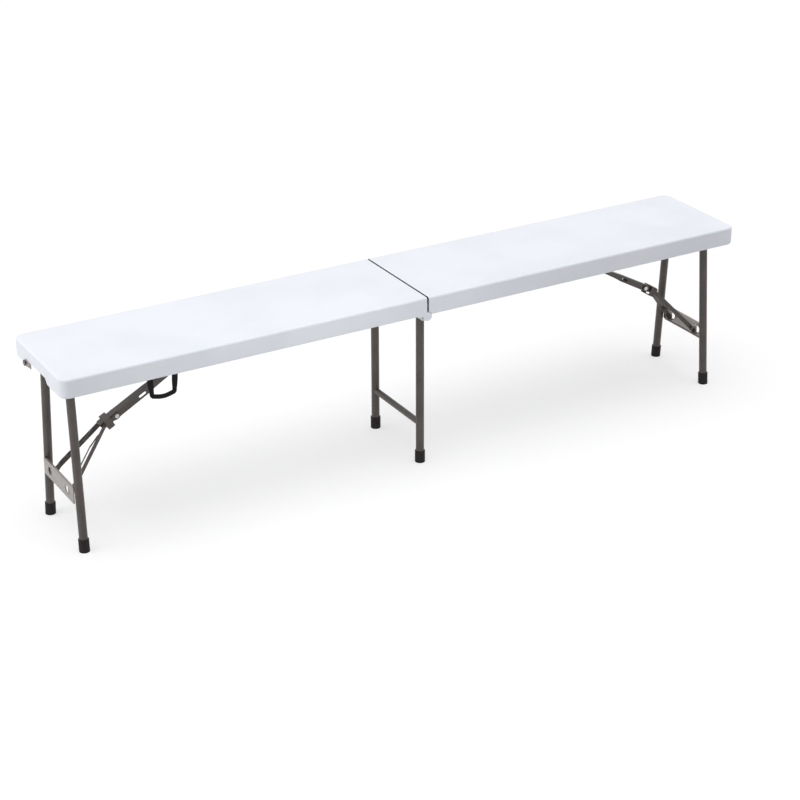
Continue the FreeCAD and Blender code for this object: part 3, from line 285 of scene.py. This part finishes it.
def makeCarryStrap(s):
    # a section carried along the path: the half size along the bench times the cosine of the angle
    # round it, and the half size through the strap times the sine, each raised to two over the power
    # with its sign kept; the flat post becomes the thick grip by the smooth share, three times the
    # square less twice the cube, of how low the path is
    path = strapPath(s)
    ahead = np.gradient(path, axis=0)
    ahead /= np.linalg.norm(ahead, axis=1, keepdims=True)
    sideways = np.stack([-ahead[:, 1], ahead[:, 0]], -1)
    flatEnd = s["fold"] - s["flatBelow"]
    u = np.clip((flatEnd - path[:, 1:]) / (flatEnd - s["grip"] - s["cornerRadius"]), 0, 1)
    low = u * u * (3 - 2 * u)
    v = np.linspace(0, 2 * math.pi, s["around"], endpoint=False)[None, :]
    power = s["postPower"] + (s["gripPower"] - s["postPower"]) * low
    wide, deep = [
        (post + (grip - post) * low) * np.sign(wave) * np.abs(wave) ** (2 / power)
        for post, grip, wave in zip(s["postHalf"], s["gripHalf"], (np.cos(v), np.sin(v)))]
    rings = np.stack([
        path[:, :1] + sideways[:, :1] * wide,
        s["depth"] + deep,
        path[:, 1:] + sideways[:, 1:] * wide,
    ], -1)
    return gridMesh("carry_strap", rings)


strap = makeCarryStrap(carryStrap)
strap.data.materials.append(finishes["handle_plastic"])
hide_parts("handle_tabs", "carry_handle")
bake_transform(strap)
print("carrying handle:", len(strap.data.polygons), "faces")


# The studio: a floor of matt paper, a sky that is dimmer behind the photographer, a broad overhead
# light, two softboxes and the photograph's viewpoint.
studio = {
    "floorHalf": 20.0,
    "floorSeen": 0.50, "floorGlow": 0.545,    # the paper's grey and its own light, as it is seen
    "floorBounce": 0.70,                      # the grey that lights the bench from below
    "skyLevel": 0.56, "skyDim": 0.13, "dimTowards": (-0.25, -0.92, 0.20), "dimSpan": (0.40, 0.95),
    "overhead": {"strength": 1.43, "angle": math.radians(60), "tilt": (math.radians(8), math.radians(-6))},
    "softboxes": {
        "left_softbox": {"place": (-3.3, 0.4, 1.1), "aim": (-0.9, 0.0, 0.4),
                         "size": 1.4, "power": 15.0, "spread": math.radians(180)},
        "front_softbox": {"place": (-0.28, -1.1, 0.7), "aim": (-0.28, -0.146, 0.42),
                          "size": 0.5, "power": 0.42, "spread": math.radians(90)},
    },
}


def seenDirectly(tree):
    # 1 where a camera, glossy or transmission ray meets the floor or the sky
    path = addNode(tree, "LightPath").outputs
    seen = addNode(tree, "Math", {"operation": "MAXIMUM"}, {0: path["Is Camera Ray"], 1: path["Is Glossy Ray"]})
    return addNode(tree, "Math", {"operation": "MAXIMUM"},
                   {0: seen.outputs[0], 1: path["Is Transmission Ray"]}).outputs[0]


def makeFloor(s):
    h = s["floorHalf"]
    mesh = bpy.data.meshes.new("studio_floor")
    mesh.from_pydata([(-h, -h, 0), (h, -h, 0), (h, h, 0), (-h, h, 0)], [], [(0, 1, 2, 3)])
    floor = bpy.data.objects.new("studio_floor", mesh)
    bpy.context.scene.collection.objects.link(floor)
    material = bpy.data.materials.new("paperBackdrop")  # matt white paper
    material.use_nodes = True
    tree = material.node_tree
    tree.nodes.remove(tree.nodes["Principled BSDF"])
    seen = seenDirectly(tree)
    grey = addNode(tree, "MapRange", {"To Min": s["floorBounce"], "To Max": s["floorSeen"]}, {"Value": seen})
    paper = addNode(tree, "BsdfDiffuse", links={"Color": grey.outputs["Result"]})
    lift = addNode(tree, "Math", {"operation": "MULTIPLY", 1: s["floorGlow"]}, {0: seen})
    glow = addNode(tree, "Emission", links={"Strength": lift.outputs[0]})
    both = addNode(tree, "AddShader", links={0: paper.outputs[0], 1: glow.outputs[0]})
    tree.links.new(both.outputs[0], tree.nodes["Material Output"].inputs["Surface"])
    mesh.materials.append(material)


def makeSky(s):
    # white where it is seen; the light that it gives falls smoothly from skyLevel to skyDim with the
    # dot product of its direction and dimTowards
    world = bpy.data.worlds.new("studio_sky")
    world.use_nodes = True
    tree = world.node_tree
    towards = np.array(s["dimTowards"]) / np.linalg.norm(s["dimTowards"])
    direction = addNode(tree, "TexCoord").outputs["Generated"]
    near = addNode(tree, "VectorMath", {"operation": "DOT_PRODUCT", 1: towards.tolist()}, {0: direction})
    given = addNode(tree, "MapRange", {
        "interpolation_type": "SMOOTHSTEP", "From Min": s["dimSpan"][0], "From Max": s["dimSpan"][1],
        "To Min": s["skyLevel"], "To Max": s["skyDim"],
    }, {"Value": near.outputs["Value"]})
    level = addNode(tree, "MapRange", {"To Max": 1.0},
                    {"Value": seenDirectly(tree), "To Min": given.outputs["Result"]})
    tree.links.new(level.outputs["Result"], tree.nodes["Background"].inputs["Strength"])
    tree.nodes["Background"].inputs["Color"].default_value = (1, 1, 1, 1)
    bpy.context.scene.world = world


def placing(right, up, back, place):
    # the matrix of an object with those axes, standing at that place
    columns = np.stack([right, up, back, place], 1)
    return Matrix([*columns.tolist(), [0, 0, 0, 1]])


def aimed(place, target):
    # an upright placing whose -Z looks at the target
    back = (place - target) / np.linalg.norm(place - target)
    right = np.cross((0, 0, 1), back)
    right /= np.linalg.norm(right)
    return placing(right, np.cross(back, right), back, place)


def makeLamps(s):
    sun = bpy.data.lights.new("overhead_light", "SUN")
    sun.energy = s["overhead"]["strength"]
    sun.angle = s["overhead"]["angle"]
    top = bpy.data.objects.new("overhead_light", sun)
    top.rotation_euler = (*s["overhead"]["tilt"], 0)
    bpy.context.scene.collection.objects.link(top)
    for name, box in s["softboxes"].items():
        panel = bpy.data.lights.new(name, "AREA")
        panel.energy = box["power"]
        panel.size = box["size"]
        panel.spread = box["spread"]
        lamp = bpy.data.objects.new(name, panel)
        lamp.matrix_world = aimed(np.array(box["place"]), np.array(box["aim"]))
        bpy.context.scene.collection.objects.link(lamp)


viewpoint = {
    "place": (-2.2535, -3.8805, 2.2656),
    "right": (0.86317, -0.50481, -0.00323), "up": (0.22013, 0.37068, 0.90220),
    "forward": (0.45429, 0.77946, -0.43124),
    "lens": 90.269, "sensor": 36.0, "reach": 100.0,
}


def makeCamera(c):
    lens = bpy.data.cameras.new("photo_camera")
    lens.lens = c["lens"]
    lens.sensor_width = c["sensor"]
    lens.clip_end = c["reach"]
    camera = bpy.data.objects.new("photo_camera", lens)
    camera.matrix_world = placing(c["right"], c["up"], -np.array(c["forward"]), c["place"])
    bpy.context.scene.collection.objects.link(camera)
    bpy.context.scene.camera = camera


makeFloor(studio)
makeSky(studio)
makeLamps(studio)
makeCamera(viewpoint)
bpy.context.scene.view_settings.view_transform = "Standard"
print("studio: floor, sky, three lamps and the camera")
